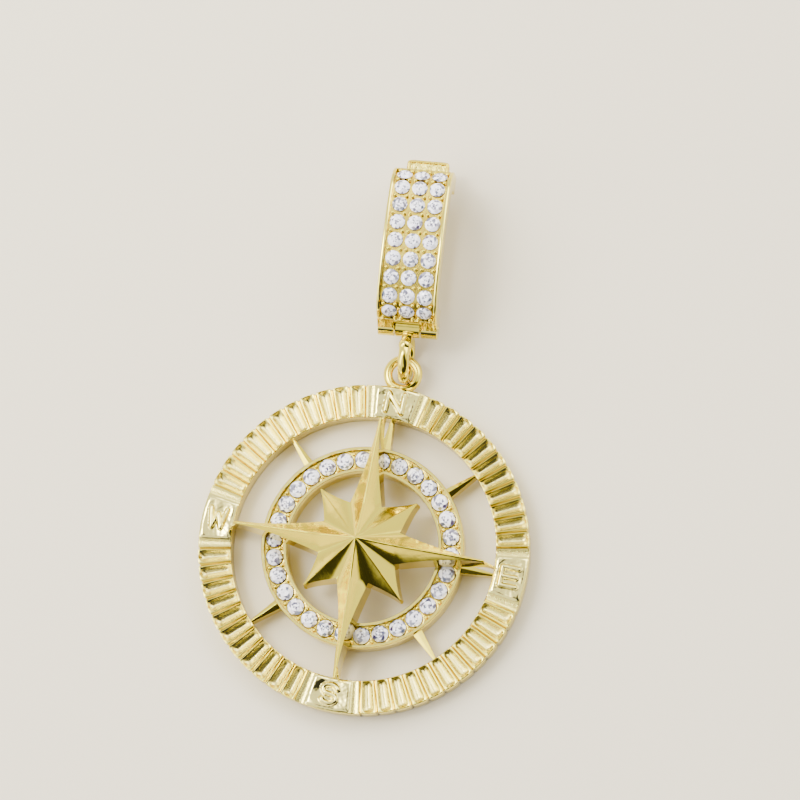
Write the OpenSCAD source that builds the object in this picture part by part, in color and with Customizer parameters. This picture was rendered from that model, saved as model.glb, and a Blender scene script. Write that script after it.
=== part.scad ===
// Compass pendant lying on its back, with a hinged pave bail at its top.
// Millimetres, +Z up, +Y from the disc to the bail.
// The origin is the middle of the whole footprint, on the surface that the pendant lies on.

/* [Rim] */
// Outer diameter of the disc
rim_d = 28; // [26:0.5:32]
// Width of the fluted band
rim_band = 2.8; // [2.4:0.1:3.4]
// Height of the rim
rim_h = 1.9; // [1.7:0.1:2.3]
// Flutes in each quarter of the rim
flutes = 11; // [8:1:12]
// Arc of each quarter that is fluted, in degrees
flute_arc = 67; // [60:1:70]
// Depth of a flute at the middle of the band
flute_depth = 0.45; // [0.3:0.05:0.6]
// Width of a flute's bowl as a share of its pitch
flute_share = 0.78; // [0.7:0.02:0.84]
// Width of the groove between two flutes
groove_w = 0.2; // [0.14:0.02:0.24]
// Depth of the groove between two flutes
groove_depth = 0.25; // [0.15:0.05:0.4]
// Lip left outside each flute's outer end
flute_lip = 0.12; // [0.1:0.02:0.2]

/* [Plaques and letters] */
// Width of a letter plaque along the middle of the band
plaque_w = 3.5; // [3:0.1:3.7]
// Height of a plaque above the rim
plaque_rise = 0.25; // [0.15:0.05:0.5]
// Cut of a plaque's corners
plaque_corner = 0.2; // [0.1:0.05:0.3]
// Height of a letter
letter_h = 2; // [1.6:0.1:2.1]
// Width of a letter
letter_w = 1.8; // [1.5:0.1:1.9]
// Width of a letter's strokes
letter_stroke = 0.42; // [0.3:0.02:0.46]
// Relief of a letter
letter_rise = 0.22; // [0.1:0.02:0.3]

/* [Stone ring] */
// Outer diameter of the stone ring
ring_d = 17.1; // [16.6:0.1:18]
// Radial width of the stone ring
ring_band = 2.13; // [2.05:0.05:2.4]
// Height of the stone ring
ring_h = 2.4; // [2.2:0.1:2.8]
// Width of each raised rail
rail_w = 0.25; // [0.2:0.01:0.3]
// Depth of the channel between the rails
channel_depth = 0.5; // [0.4:0.05:0.6]
// Stones in the ring
ring_stone_count = 30; // [24:1:30]
// Diameter of a ring stone
ring_stone_d = 1.4; // [1.2:0.02:1.42]
// Diameter of the hole under a ring stone
azure_d = 0.75; // [0.5:0.05:0.8]
// Width of a spur where it leaves the stone ring
spur_w = 0.9; // [0.7:0.05:1.1]
// Width of a spur where it meets the rim
spur_tip_w = 0.24; // [0.2:0.02:0.4]
// Height of a spur's ridge above its edges
spur_ridge = 0.3; // [0.2:0.05:0.4]

/* [Star] */
// Length of a long arm
arm_len = 10.6; // [10.4:0.05:11]
// Width of a long arm's tip
arm_tip_w = 0.2; // [0.16:0.02:0.3]
// Length of a short arm
short_len = 5.8; // [5:0.1:6]
// Radius of the corners between the arms
valley_r = 3.5; // [3.2:0.1:4]
// Height of the peak above the stone ring
peak_rise = 4.7; // [4:0.1:5]
// Height of a long arm's tip above the stone ring
arm_rise = 2.6; // [2.2:0.1:3.4]
// Height of a short arm's tip above the stone ring
short_rise = 1.2; // [1:0.1:1.5]
// Height of the corners between the arms above the stone ring
valley_rise = 1.9; // [1.6:0.1:2.1]
// Height of a long arm's ridge beside those corners, above the stone ring
knee_rise = 3.45; // [3.3:0.05:3.6]
// Turn of the star from the plaques, in degrees
star_turn = 2.6; // [0:0.1:4]

/* [Eye and link] */
// Inner diameter of the disc's eye
eye_bore = 2.3; // [2.1:0.1:2.5]
// Wire of the disc's eye
eye_wire = 0.52; // [0.44:0.02:0.56]
// Height of the eye's middle above the surface
eye_z = 1.25; // [1.1:0.05:1.3]
// Inner diameter of the bail's ring
link_bore = 2.9; // [2.7:0.1:3.1]
// Wire of the bail's ring
link_wire = 0.76; // [0.6:0.02:0.8]
// Distance that the link hangs below the eye's middle
link_drop = 0.6; // [0.5:0.05:0.65]
// Sideways seat of the link in the eye
link_side = 0.25; // [0:0.05:0.3]
// Turn of the disc from the bail's line as it lies, in degrees
disc_turn = 5.8; // [0:0.2:8]

/* [Bail] */
// Width of the front half
front_w = 5.1; // [5.1:0.1:5.6]
// Height of the bail from back to front
bail_h = 7.4; // [7.2:0.1:8]
// Thickness of the front half
front_t = 1.6; // [1.5:0.1:1.8]
// Radius of the front's long curve
front_r = 20; // [18:0.5:22]
// Half angle of the front's long curve, in degrees
front_angle = 13.4; // [12:0.2:14.6]
// Radius of the front's ends
end_r = 2.65; // [2.5:0.05:2.9]
// Width of the back half
back_w = 3.6; // [3.2:0.1:4]
// Thickness of the back half
back_t = 1; // [0.9:0.1:1.1]
// Radius of the back half's ends
back_r = 3; // [2.6:0.1:3.1]
// Height of the line where the halves part
parting_z = 3.3; // [3.2:0.05:3.4]
// Reach of the thumb tab past the front half
tab_reach = 1.2; // [0.8:0.1:1.4]
// Thickness of the thumb tab
tab_t = 0.8; // [0.6:0.1:1]

/* [Bail stones] */
// Rows of stones along the bail
bail_rows = 9; // [5:2:9]
// Columns of stones across the bail
bail_cols = 3; // [1:2:3]
// Distance from one row to the next along the face
bail_pitch = 1.6; // [1.54:0.01:1.62]
// How far the rows lie below the bail's middle, towards the hinge
field_shift = 0.24; // [0:0.02:0.3]
// Distance from one column to the next
bail_col_pitch = 1.49; // [1.47:0.01:1.5]
// Diameter of a bail stone
bail_stone_d = 1.3; // [1.1:0.02:1.32]
// Depth of the field that holds the stones
field_depth = 0.35; // [0.25:0.05:0.45]
// Width of the rails beside the field
field_rail = 0.28; // [0.2:0.02:0.32]

/* [Hinge] */
// Radius of the hinge barrel
barrel_r = 0.85; // [0.8:0.01:0.9]
// Length of the middle knuckle
knuckle_w = 2.1; // [1.8:0.1:2.4]
// Diameter of the hinge pin
pin_d = 0.7; // [0.6:0.05:0.8]
// Radial running clearance of the hinge pin
pin_gap = 0.03; // [0.02:0.01:0.06]
// Clearance between hinge pieces that pass each other
hinge_gap = 0.1; // [0.08:0.01:0.15]

/* [Settings] */
// Clearance between a stone and its seat
seat_gap = 0.04; // [0.03:0.01:0.06]
// Diameter of a bead that holds the stones
bead_d = 0.36; // [0.3:0.02:0.4]
// Crown height as a share of a stone's diameter
crown_share = 0.16; // [0.12:0.01:0.18]
// Pavilion depth as a share of a stone's diameter
pavilion_share = 0.42; // [0.35:0.01:0.45]
// Table width as a share of a stone's diameter
table_share = 0.56; // [0.5:0.01:0.65]

/* [Hidden] */
$fn = 48;
eps = 0.01;
gold = [0.93, 0.8, 0.45];
stone_white = [0.9, 0.9, 0.97, 0.6];

rim_r = rim_d / 2;
rim_in = rim_r - rim_band;
rim_mid = rim_r - rim_band / 2;
flute_pitch = flute_arc / flutes;
flute_inner_lip = 0.15;
flute_in_round = 0.3;
flute_out_round = 0.6;
flute_in = rim_in + flute_inner_lip;
flute_out = rim_r - flute_lip;
flute_half = rim_mid * flute_pitch * PI / 180 * flute_share / 2;
flute_axis_z = (flute_half * flute_half + flute_depth * flute_depth) / (2 * flute_depth) - flute_depth;

ring_r = ring_d / 2;
ring_in = ring_r - ring_band;
ring_mid = ring_r - ring_band / 2;
channel_z = ring_h - channel_depth;
ring_table_sink = 0.08;
ring_girdle_z = ring_h - ring_table_sink - ring_stone_d * crown_share;
girdle_share = 0.03;
seat_floor_r = 0.15;
bead_share = 0.385;
bead_lift = 0.4;
bail_table_sink = 0.02;
bail_girdle_sink = bail_table_sink + bail_stone_d * crown_share;

plaque_edge = 0.06;
plaque_steps = 8;
w_apex = 0.6;

spur_root = 0.3;
spur_floor = 0.3;
spur_drop = 0.1;
spur_inset = 0.12;

star_sink = 0.06;
star_base_z = ring_h - star_sink;
peak_z = ring_h + peak_rise;
valley_u = valley_r * cos(22.5);
valley_w = valley_r * sin(22.5);
arm_curve = 1.7;
short_curve = 1.25;
short_tip_w = 0.12;
outline_steps = 5;
toe_root = 0.6;
toe_root_h = 1.5;
toe_tip_in = 0.1;
toe_tip_drop = 0.4;
toe_drop = 0.3;
toe_lap = 0.15;
toe_w = arm_tip_w * 0.8;

eye_r = (eye_bore + eye_wire) / 2;
eye_reach = 1.3;
eye_y = rim_r + eye_reach;
link_r = (link_bore + link_wire) / 2;
link_lift = 0.09;
link_z = link_bore / 2 + link_wire + link_lift;
link_bite = 0.4;

end_y = (front_r - end_r) * sin(front_angle);
end_z = bail_h - front_r + (front_r - end_r) * cos(front_angle);
half_len = end_y + end_r;
hinge_out = 0.09;
hinge_y = -half_len - hinge_out;
hinge_drop = 0.1;
hinge_z = parting_z - hinge_drop;
pin_bore_r = pin_d / 2 + pin_gap;
knuckle_half = knuckle_w / 2;
lug_half = knuckle_half + hinge_gap;
link_y = hinge_y - barrel_r + link_bite - sqrt(pow(link_r + link_wire / 2, 2) - pow(hinge_z - link_z, 2));
tab_y = half_len + tab_reach;
field_margin = 3;
field_clear = 0.4;
lug_margin = 1;
lug_low = [barrel_r * 0.7, barrel_r * 0.4];

// The disc's eye sits in the bail's ring, and the footprint's middle is at the origin.
eye_x_from_disc = eye_y * sin(disc_turn);
eye_y_from_disc = eye_y * cos(disc_turn);
bail_from_disc = eye_y_from_disc - link_drop + link_r - link_y;
disc_y = (rim_r - bail_from_disc - tab_y) / 2;
bail_x = eye_x_from_disc + link_side;
bail_y = disc_y + bail_from_disc;

// A cut stone with its girdle at z = 0: eight crown facets, a table and eight pavilion facets.
module cut_stone(d) {
    r = d / 2;
    rotate(22.5) rotate_extrude($fn = 8)
        polygon([[0, -d * pavilion_share], [r, -d * girdle_share / 2], [r, d * girdle_share / 2],
                 [r * table_share, d * crown_share], [0, d * crown_share]]);
}

// The seat that is cut for a stone, open above the girdle.
module seat(d) {
    depth = d * pavilion_share + seat_gap;
    translate([0, 0, -depth]) cylinder(h = depth, r1 = seat_floor_r, r2 = d / 2 + seat_gap, $fn = 24);
    translate([0, 0, -eps]) cylinder(h = 1, r = d / 2 + seat_gap, $fn = 24);
}

// A bar along +X with a roof-shaped top, through sections of [x, half width, bottom, edge, ridge].
module ridge_bar(sections) {
    n = len(sections);
    points = [for (s = sections) each [[s[0], -s[1], s[2]], [s[0], s[1], s[2]], [s[0], s[1], s[3]],
                                       [s[0], 0, s[4]], [s[0], -s[1], s[3]]]];
    sides = [for (i = [0 : n - 2]) for (k = [0 : 4])
                [5 * i + k, 5 * i + 5 + k, 5 * i + 5 + (k + 1) % 5, 5 * i + (k + 1) % 5]];
    first = [[0, 1, 2, 3, 4]];
    last = [[for (k = [4 : -1 : 0]) 5 * (n - 1) + k]];
    polyhedron(points, concat(first, sides, last));
}

function on_circle(r, a) = [r * cos(a), r * sin(a)];
function reversed(list) = [for (i = [len(list) - 1 : -1 : 0]) list[i]];

// A slice of the band, just inside both its edges, with its corners cut.
module plaque_shape() {
    r0 = rim_in + plaque_edge;
    r1 = rim_r - plaque_edge;
    half = plaque_w / rim_mid * 90 / PI;
    cut0 = plaque_corner / r0 * 180 / PI;
    cut1 = plaque_corner / r1 * 180 / PI;
    steps = [for (i = [0 : plaque_steps]) 2 * i / plaque_steps - 1];
    outer = [for (t = steps) on_circle(r1, t * (half - cut1))];
    inner = [for (t = reversed(steps)) on_circle(r0, t * (half - cut0))];
    side_r = [r1 - plaque_corner, r0 + plaque_corner];
    left = [for (r = side_r) on_circle(r, half)];
    right = [for (r = reversed(side_r)) on_circle(r, -half)];
    polygon(concat(outer, left, inner, right));
}

// One flute: a spindle along +X whose section is a circle, so that its cut has round ends.
function flute_w(x) = x * flute_pitch * PI / 180 * flute_share / 2;
function flute_section(x, share) =
    [sqrt(pow(flute_w(x) * share, 2) + pow(flute_axis_z, 2)), x];
module flute_cutter() {
    rounding = [0.55, 0.8, 1];
    start = [for (t = reversed(rounding))
                flute_section(flute_in + flute_in_round * (1 - t), sqrt(1 - t * t))];
    middle = [flute_section(flute_in + flute_in_round, 1), flute_section(flute_out - flute_out_round, 1)];
    end = [for (t = rounding) flute_section(flute_out - flute_out_round * (1 - t), sqrt(1 - t * t))];
    outline = concat([[0, flute_in]], start, middle, end, [[0, flute_out]]);
    translate([0, 0, rim_h + flute_axis_z]) rotate([0, 90, 0])
        rotate_extrude($fn = 32) polygon(outline);
}

// The narrow groove between two flutes, open at both edges of the band.
module groove_cutter() {
    translate([rim_mid, 0, rim_h]) rotate([90, 0, 90]) linear_extrude(rim_band + 1, center = true)
        polygon([[-groove_w / 2, eps], [0, -groove_depth], [groove_w / 2, eps]]);
}

module rim() {
    difference() {
        cylinder(h = rim_h, r = rim_r, $fn = 96);
        translate([0, 0, -eps]) cylinder(h = rim_h + 2 * eps, r = rim_in, $fn = 96);
        for (q = [0 : 3]) for (i = [0 : flutes - 1])
            rotate(q * 90 + 45 + (i - (flutes - 1) / 2) * flute_pitch) flute_cutter();
        for (q = [0 : 3]) for (i = [1 : flutes - 1])
            rotate(q * 90 + 45 + (i - flutes / 2) * flute_pitch) groove_cutter();
    }
}

// A straight stroke of a letter, from one point to another.
module stroke(a, b) {
    dir = b - a;
    translate(a) rotate(atan2(dir.y, dir.x))
        translate([0, -letter_stroke / 2]) square([norm(dir), letter_stroke]);
}

module letter_n(x, y) {
    for (s = [-1, 1]) translate([s * x, 0]) square([letter_stroke, 2 * y], center = true);
    polygon([[-x - letter_stroke / 2, y], [-x + letter_stroke / 2, y],
             [x + letter_stroke / 2, -y], [x - letter_stroke / 2, -y]]);
}

module letter_e(x, y) {
    translate([-x, 0]) square([letter_stroke, 2 * y], center = true);
    for (s = [-1, 0, 1])
        translate([-x, s * (y - letter_stroke / 2) - letter_stroke / 2])
            square([2 * x + letter_stroke / 2, letter_stroke]);
}

// The upper half of an S: a half ring at the left, a quarter ring at the right and bars between.
module upper_s(x, y) {
    r = (2 * y + letter_stroke) / 4;
    shift = x + letter_stroke / 2 - r;
    for (s = [-1, 1]) translate([s * shift, y - r]) intersection() {
        difference() {
            circle(r, $fn = 32);
            circle(r - letter_stroke, $fn = 32);
        }
        translate(s > 0 ? [0, 0] : [-r, -r]) square([r, s > 0 ? r : 2 * r]);
    }
    for (level = [y - letter_stroke, -letter_stroke / 2])
        translate([-shift, level]) square([2 * shift, letter_stroke]);
}

module letter_s(x, y) {
    for (a = [0, 180]) rotate(a) upper_s(x, y);
}

module letter_w_shape(x, y) {
    half = letter_stroke / 2;
    for (s = [-1, 1]) {
        polygon([[s * (x + half), y], [s * (x - half), y],
                 [s * (x / 2 - half), -y], [s * (x / 2 + half), -y]]);
        polygon([[s * (x / 2 + half), -y], [s * (x / 2 - half), -y],
                 [-s * half, y * w_apex], [s * half, y * w_apex]]);
    }
}

module letter(i) {
    x = (letter_w - letter_stroke) / 2;
    y = letter_h / 2;
    if (i == 0) letter_e(x, y);
    if (i == 1) letter_n(x, y);
    if (i == 2) letter_w_shape(x, y);
    if (i == 3) letter_s(x, y);
}

// Four plaques across the band. The letters stand upright on the pendant, so they don't turn.
module plaques() {
    for (i = [0 : 3]) {
        rotate(i * 90) linear_extrude(rim_h + plaque_rise) plaque_shape();
        translate([rim_mid * cos(i * 90), rim_mid * sin(i * 90), rim_h + plaque_rise - eps])
            linear_extrude(letter_rise + eps) letter(i);
    }
}

module stone_ring() {
    bead_reach = ring_stone_d * bead_share;
    difference() {
        rotate_extrude($fn = 96)
            polygon([[ring_in, 0], [ring_r, 0], [ring_r, ring_h], [ring_r - rail_w, ring_h],
                     [ring_r - rail_w, channel_z], [ring_in + rail_w, channel_z],
                     [ring_in + rail_w, ring_h], [ring_in, ring_h]]);
        for (i = [0 : ring_stone_count - 1]) rotate(90 + i * 360 / ring_stone_count)
            translate([ring_mid, 0, 0]) {
                translate([0, 0, -eps]) cylinder(h = ring_h, d = azure_d, $fn = 24);
                translate([0, 0, ring_girdle_z]) seat(ring_stone_d);
            }
    }
    for (i = [0 : ring_stone_count - 1]) for (s = [-1, 1])
        rotate(90 + (i + 0.5) * 360 / ring_stone_count)
            translate([ring_mid + s * bead_reach, 0, channel_z + bead_d * bead_lift])
                sphere(d = bead_d, $fn = 16);
}

// Eight ridged spurs carry the stone ring in the rim.
module spurs() {
    edge = rim_h - spur_drop - spur_ridge;
    tip_ridge = spur_ridge * spur_tip_w / spur_w;
    for (i = [0 : 7]) rotate(i * 45)
        ridge_bar([[ring_r - spur_root, spur_w / 2, spur_floor, edge, edge + spur_ridge],
                   [rim_in + spur_inset, spur_tip_w / 2, spur_floor, edge, edge + tip_ridge]]);
}

// Height of a point at u along an arm and w beside its ridge, beyond the corner. The slope is flat from the
// ridge, which falls from the knee to the tip, to the corner.
function slope_z(u, w, tip_len, tip_z, knee_z) =
    let (t = (u - valley_u) / (tip_len - valley_u),
         side = (knee_z - ring_h - valley_rise) / valley_w)
    knee_z + (tip_z - knee_z) * t - side * w;

// One arm's outline from corner to corner: out along one side, round the tip and back.
function arm_side(tip_len, tip_half, curve, tip_z, knee_z) =
    [for (i = [1 : outline_steps])
        let (t = i / outline_steps,
             u = valley_u + (tip_len - valley_u) * t,
             w = tip_half + (valley_w - tip_half) * pow(1 - t, curve))
        [u, w, slope_z(u, w, tip_len, tip_z, knee_z)]];
function turned(p, a) = [p.x * cos(a) - p.y * sin(a), p.x * sin(a) + p.y * cos(a), p.z];
function arm_outline(angle, tip_len, tip_half, curve, tip_z, knee_z) =
    let (side = arm_side(tip_len, tip_half, curve, tip_z, knee_z), n = len(side) - 1)
    concat([turned([valley_u, -valley_w, ring_h + valley_rise], angle)],
           [for (p = side) turned([p.x, -p.y, p.z], angle)],
           [turned([tip_len, 0, tip_z], angle)],
           [for (i = [n : -1 : 0]) turned(side[i], angle)]);

// The peak comes first, then each arm's knee, then the outline's upper and lower corners.
module star_body() {
    tip_z = [ring_h + arm_rise, ring_h + short_rise];
    knee_z = [ring_h + knee_rise, peak_z - (peak_z - tip_z[1]) * valley_u / short_len];
    outline = [for (a = [0 : 7]) each a % 2 == 0
        ? arm_outline(a * 45, arm_len, arm_tip_w / 2, arm_curve, tip_z[0], knee_z[0])
        : arm_outline(a * 45, short_len, short_tip_w / 2, short_curve, tip_z[1], knee_z[1])];
    n = len(outline);
    arm_n = n / 8;
    points = concat([[0, 0, peak_z], [0, 0, star_base_z]],
                    [for (a = [0 : 7]) turned([valley_u, 0, knee_z[a % 2]], a * 45)],
                    outline, [for (p = outline) [p.x, p.y, star_base_z]]);
    top = 10;
    base = top + n;
    cap = [for (a = [0 : 7]) each [[0, 2 + a, top + a * arm_n],
                                   [0, top + (a + 1) * arm_n % n, 2 + a]]];
    roof = [for (i = [0 : n - 1]) [2 + floor(i / arm_n), top + (i + 1) % n, top + i]];
    walls = [for (i = [0 : n - 1]) [top + i, top + (i + 1) % n, base + (i + 1) % n, base + i]];
    floor_faces = [for (i = [0 : n - 1]) [1, base + i, base + (i + 1) % n]];
    polyhedron(points, concat(cap, roof, walls, floor_faces));
}

// The thin toe under each long tip reaches down to the plaque's inner edge.
module star_toes() {
    foot_z = rim_h + plaque_rise;
    for (q = [0 : 3]) rotate([90, 0, q * 90])
        linear_extrude(toe_w, center = true)
            polygon([[arm_len - toe_root, star_base_z], [arm_len - toe_root, star_base_z + toe_root_h],
                     [arm_len - toe_tip_in, ring_h + arm_rise - toe_tip_drop],
                     [rim_in + toe_lap, foot_z + toe_drop], [rim_in + toe_lap, foot_z - toe_drop],
                     [rim_in - toe_lap, foot_z - toe_drop]]);
}

module eye() {
    translate([0, eye_y, eye_z]) rotate_extrude($fn = 48)
        translate([eye_r, 0]) circle(d = eye_wire, $fn = 24);
}

module disc_place() {
    translate([0, disc_y, 0]) rotate(-disc_turn) children();
}

// The cast disc with everything that is soldered to it.
module compass_disc() {
    color(gold) disc_place() {
        rim();
        plaques();
        stone_ring();
        spurs();
        eye();
        rotate(star_turn) {
            star_body();
            star_toes();
        }
    }
}

module ring_stones() {
    color(stone_white) disc_place()
        for (i = [0 : ring_stone_count - 1]) rotate(90 + i * 360 / ring_stone_count)
            translate([ring_mid, 0, ring_girdle_z]) cut_stone(ring_stone_d);
}

// A point at distance out from the front's outer face, where the face is turned by angle a.
function face_point(out, a) = abs(a) <= front_angle
    ? [(front_r + out) * sin(a), bail_h - front_r + (front_r + out) * cos(a)]
    : [sign(a) * end_y + (end_r + out) * sin(a), end_z + (end_r + out) * cos(a)];
function face_angle(s) = let (flat_s = front_r * front_angle * PI / 180)
    abs(s) <= flat_s ? s / front_r * 180 / PI
    : sign(s) * (front_angle + (abs(s) - flat_s) / end_r * 180 / PI);
function face_arc(out, a0, a1, n) = [for (i = [0 : n]) face_point(out, a0 + (a1 - a0) * i / n)];
function face_line(out, a_low, a_top) = concat(
    face_arc(out, a_low, -front_angle, 6), face_arc(out, -front_angle, front_angle, 6),
    face_arc(out, front_angle, a_top, 6));
field_top = face_angle(bail_rows / 2 * bail_pitch - field_shift) + field_margin;
field_low = face_angle(-bail_rows / 2 * bail_pitch - field_shift) - field_margin;

module bail_place() {
    translate([bail_x, bail_y, 0]) children();
}

// Extrudes a side view of the bail, [along, up], across its width.
module across(w) {
    rotate([90, 0, 90]) translate([0, 0, -w / 2]) linear_extrude(w) children();
}

module along_pin(r, x0, x1) {
    translate([x0, hinge_y, hinge_z]) rotate([0, 90, 0]) cylinder(h = x1 - x0, r = r, $fn = 48);
}

// A place on the front's face, with +Z out of it.
module on_face(x, s, sink) {
    a = face_angle(s);
    p = face_point(-sink, a);
    translate([x, p[0], p[1]]) rotate([-a, 0, 0]) children();
}

module each_bail_stone(sink) {
    for (row = [0 : bail_rows - 1]) for (col = [0 : bail_cols - 1])
        on_face((col - (bail_cols - 1) / 2) * bail_col_pitch,
                (row - (bail_rows - 1) / 2) * bail_pitch - field_shift, sink)
            children();
}

module front_strip() {
    across(front_w) polygon(concat(
        [[-half_len, parting_z]], face_line(0, -90, 90), [[half_len, parting_z]],
        [[half_len - front_t, parting_z]], reversed(face_line(-front_t, -90, 90)),
        [[-half_len + front_t, parting_z]]));
}

// Each lug's cheek runs on from the front's face, past the field, down to the barrel.
module lug_cheek(x0, x1) {
    a = field_low - lug_margin;
    translate([x0, 0, 0]) rotate([90, 0, 90]) linear_extrude(x1 - x0)
        polygon([face_point(0, a), face_point(-front_t / 2, a), [hinge_y, hinge_z],
                 [hinge_y - lug_low[0], hinge_z + lug_low[1]]]);
}

module bail_front() {
    bead_x = bail_stone_d * bead_share;
    color(gold) bail_place() {
        difference() {
            union() {
                front_strip();
                for (x = [-front_w / 2, lug_half]) {
                    along_pin(barrel_r, x, x + front_w / 2 - lug_half);
                    lug_cheek(x, x + front_w / 2 - lug_half);
                }
            }
            across(front_w - 2 * field_rail)
                polygon(concat(face_line(-field_depth, field_low, field_top),
                               reversed(face_line(field_clear, field_low, field_top))));
            along_pin(barrel_r + hinge_gap, -lug_half, lug_half);
            along_pin(pin_bore_r, -front_w, front_w);
            each_bail_stone(bail_girdle_sink) seat(bail_stone_d);
        }
        for (line = [0 : bail_rows]) for (col = [0 : bail_cols - 1]) for (s = [-1, 1])
            on_face((col - (bail_cols - 1) / 2) * bail_col_pitch + s * bead_x,
                    (line - bail_rows / 2) * bail_pitch - field_shift, field_depth - bead_d * bead_lift)
                sphere(d = bead_d, $fn = 16);
    }
}

module bail_stones() {
    color(stone_white) bail_place() each_bail_stone(bail_girdle_sink) cut_stone(bail_stone_d);
}

function back_arc(r, a0, a1, cy, n = 8) =
    [for (i = [0 : n]) let (a = a0 + (a1 - a0) * i / n) [cy + r * cos(a), back_r + r * sin(a)]];

// The back half is flat on the surface, with round ends that rise to the parting line.
module back_strip() {
    top = parting_z - hinge_gap;
    cy = half_len - back_r;
    across(back_w) polygon(concat(
        [[-half_len, top]], back_arc(back_r, 180, 270, -cy), back_arc(back_r, 270, 360, cy),
        [[half_len, top]], [[half_len - back_t, top]], back_arc(back_r - back_t, 360, 270, cy),
        back_arc(back_r - back_t, 270, 180, -cy), [[-half_len + back_t, top]]));
}

// The back half with its thumb tab, its knuckle and the ring that is soldered under the knuckle.
module bail_back() {
    color(gold) bail_place() difference() {
        union() {
            difference() {
                back_strip();
                for (s = [-1, 1])
                    along_pin(barrel_r + hinge_gap, s > 0 ? knuckle_half : -back_w,
                              s > 0 ? back_w : -knuckle_half);
            }
            along_pin(barrel_r, -knuckle_half, knuckle_half);
            translate([-back_w / 2, half_len - back_t, parting_z - hinge_gap - tab_t])
                cube([back_w, back_t + tab_reach, tab_t]);
            translate([0, link_y, link_z]) rotate([0, 90, 0]) rotate_extrude($fn = 48)
                translate([link_r, 0]) circle(d = link_wire, $fn = 24);
        }
        along_pin(pin_bore_r, -back_w, back_w);
    }
}

module bail_pin() {
    color(gold) bail_place() along_pin(pin_d / 2, -front_w / 2, front_w / 2);
}

compass_disc();
ring_stones();
bail_front();
bail_stones();
bail_back();
bail_pin();
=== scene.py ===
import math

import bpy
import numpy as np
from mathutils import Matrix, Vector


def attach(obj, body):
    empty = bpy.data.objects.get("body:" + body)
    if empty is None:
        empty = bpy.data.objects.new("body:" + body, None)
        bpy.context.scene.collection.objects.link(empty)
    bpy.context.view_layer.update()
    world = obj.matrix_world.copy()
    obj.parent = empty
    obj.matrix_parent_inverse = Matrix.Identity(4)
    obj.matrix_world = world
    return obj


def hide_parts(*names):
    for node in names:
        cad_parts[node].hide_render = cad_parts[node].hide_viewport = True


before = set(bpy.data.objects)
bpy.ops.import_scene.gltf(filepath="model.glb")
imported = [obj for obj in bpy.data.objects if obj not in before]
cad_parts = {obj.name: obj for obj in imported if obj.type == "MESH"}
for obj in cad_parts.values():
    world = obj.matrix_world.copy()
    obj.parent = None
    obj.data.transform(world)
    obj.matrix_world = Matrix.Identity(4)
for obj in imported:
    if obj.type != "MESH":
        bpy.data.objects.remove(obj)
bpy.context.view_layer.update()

# %% [markdown]
# # A compass pendant
#
# The pendant lies on its back: a fluted gold rim, a tall eight-pointed star over a ring of pale stones, and a hinged
# bail that is paved with stones. The imported CAD solids are already in place. All lengths below are in millimetres
# and are turned to metres where a mesh is made.

MM = 0.001

# %% [markdown]
# ## Camera
#
# The pendant is seen from a little in front of straight above. A long lens from far away lets far and near parts
# keep their proportions. The camera is placed by its tilt, the side that it leans to, and its roll.

# %% Camera
TARGET = np.array([1.648, 3.078, 2.0])
DISTANCE = 300.0
TILT, LEAN, ROLL = (math.radians(a) for a in (13.5, 33.74, 6.87))

toward = np.array([math.sin(TILT) * math.sin(LEAN), -math.sin(TILT) * math.cos(LEAN), math.cos(TILT)])
across = np.cross(-toward, [0.0, 1.0, 0.0])
across /= np.linalg.norm(across)
upward = np.cross(across, -toward)
right = math.cos(ROLL) * across + math.sin(ROLL) * upward
up = -math.sin(ROLL) * across + math.cos(ROLL) * upward

lens = bpy.data.cameras.new("camera")
lens.sensor_width = 36.0
lens.lens = 159.84
lens.clip_start = 0.01
lens.clip_end = 10.0
camera = bpy.data.objects.new("camera", lens)
camera.matrix_world = Matrix(
    [[right[i], up[i], toward[i], (TARGET[i] + DISTANCE * toward[i]) * MM] for i in range(3)] + [[0, 0, 0, 1]]
)
bpy.context.scene.collection.objects.link(camera)
bpy.context.scene.camera = camera
print("camera at, mm:", [round(float(c), 1) for c in TARGET + DISTANCE * toward])

# %% [markdown]
# ## Short ways to make nodes
#
# The sky and the finishes are all node trees. One helper makes a node and fills its inputs, and the others use it
# for what comes back most: maths, a soft step, noise, and a mix of two colours.

# %% Node helpers
def new_node(tree, kind, inputs=None, **settings):
    """A new node's outputs. Each of its inputs is a constant, or a socket to link."""
    made = tree.nodes.new("ShaderNode" + kind)
    for name, value in settings.items():
        setattr(made, name, value)
    for name, value in (inputs or {}).items():
        if isinstance(value, bpy.types.NodeSocket):
            tree.links.new(value, made.inputs[name])
        else:
            made.inputs[name].default_value = value
    return made.outputs


def maths(tree, operation, *values, **settings):
    """The result of a maths node."""
    return new_node(tree, "Math", dict(enumerate(values)), operation=operation, **settings)["Value"]


def vector_maths(tree, operation, result, *values):
    """The result of that name of a maths node on vectors."""
    return new_node(tree, "VectorMath", dict(enumerate(values)), operation=operation)[result]


def soft_step(tree, value, start, stop, height=1.0):
    """A smooth climb from 0, where the value is start, to height, where it is stop."""
    ends = {"Value": value, "From Min": start, "From Max": stop, "To Max": height}
    return new_node(tree, "MapRange", ends, interpolation_type="SMOOTHSTEP")["Result"]


def noise(tree, where, scale, detail):
    """Soft noise from 0 to 1, with scale patches to the unit."""
    return new_node(tree, "TexNoise", {"Vector": where, "Scale": scale, "Detail": detail})["Fac"]


def mixed(tree, share, one, other):
    """A colour that goes from one to other as the share goes from 0 to 1."""
    return new_node(tree, "Mix", {"Factor": share, "A": one, "B": other}, data_type="RGBA")["Result"]


print("node helpers: maths, vector_maths, soft_step, noise, mixed")

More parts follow.
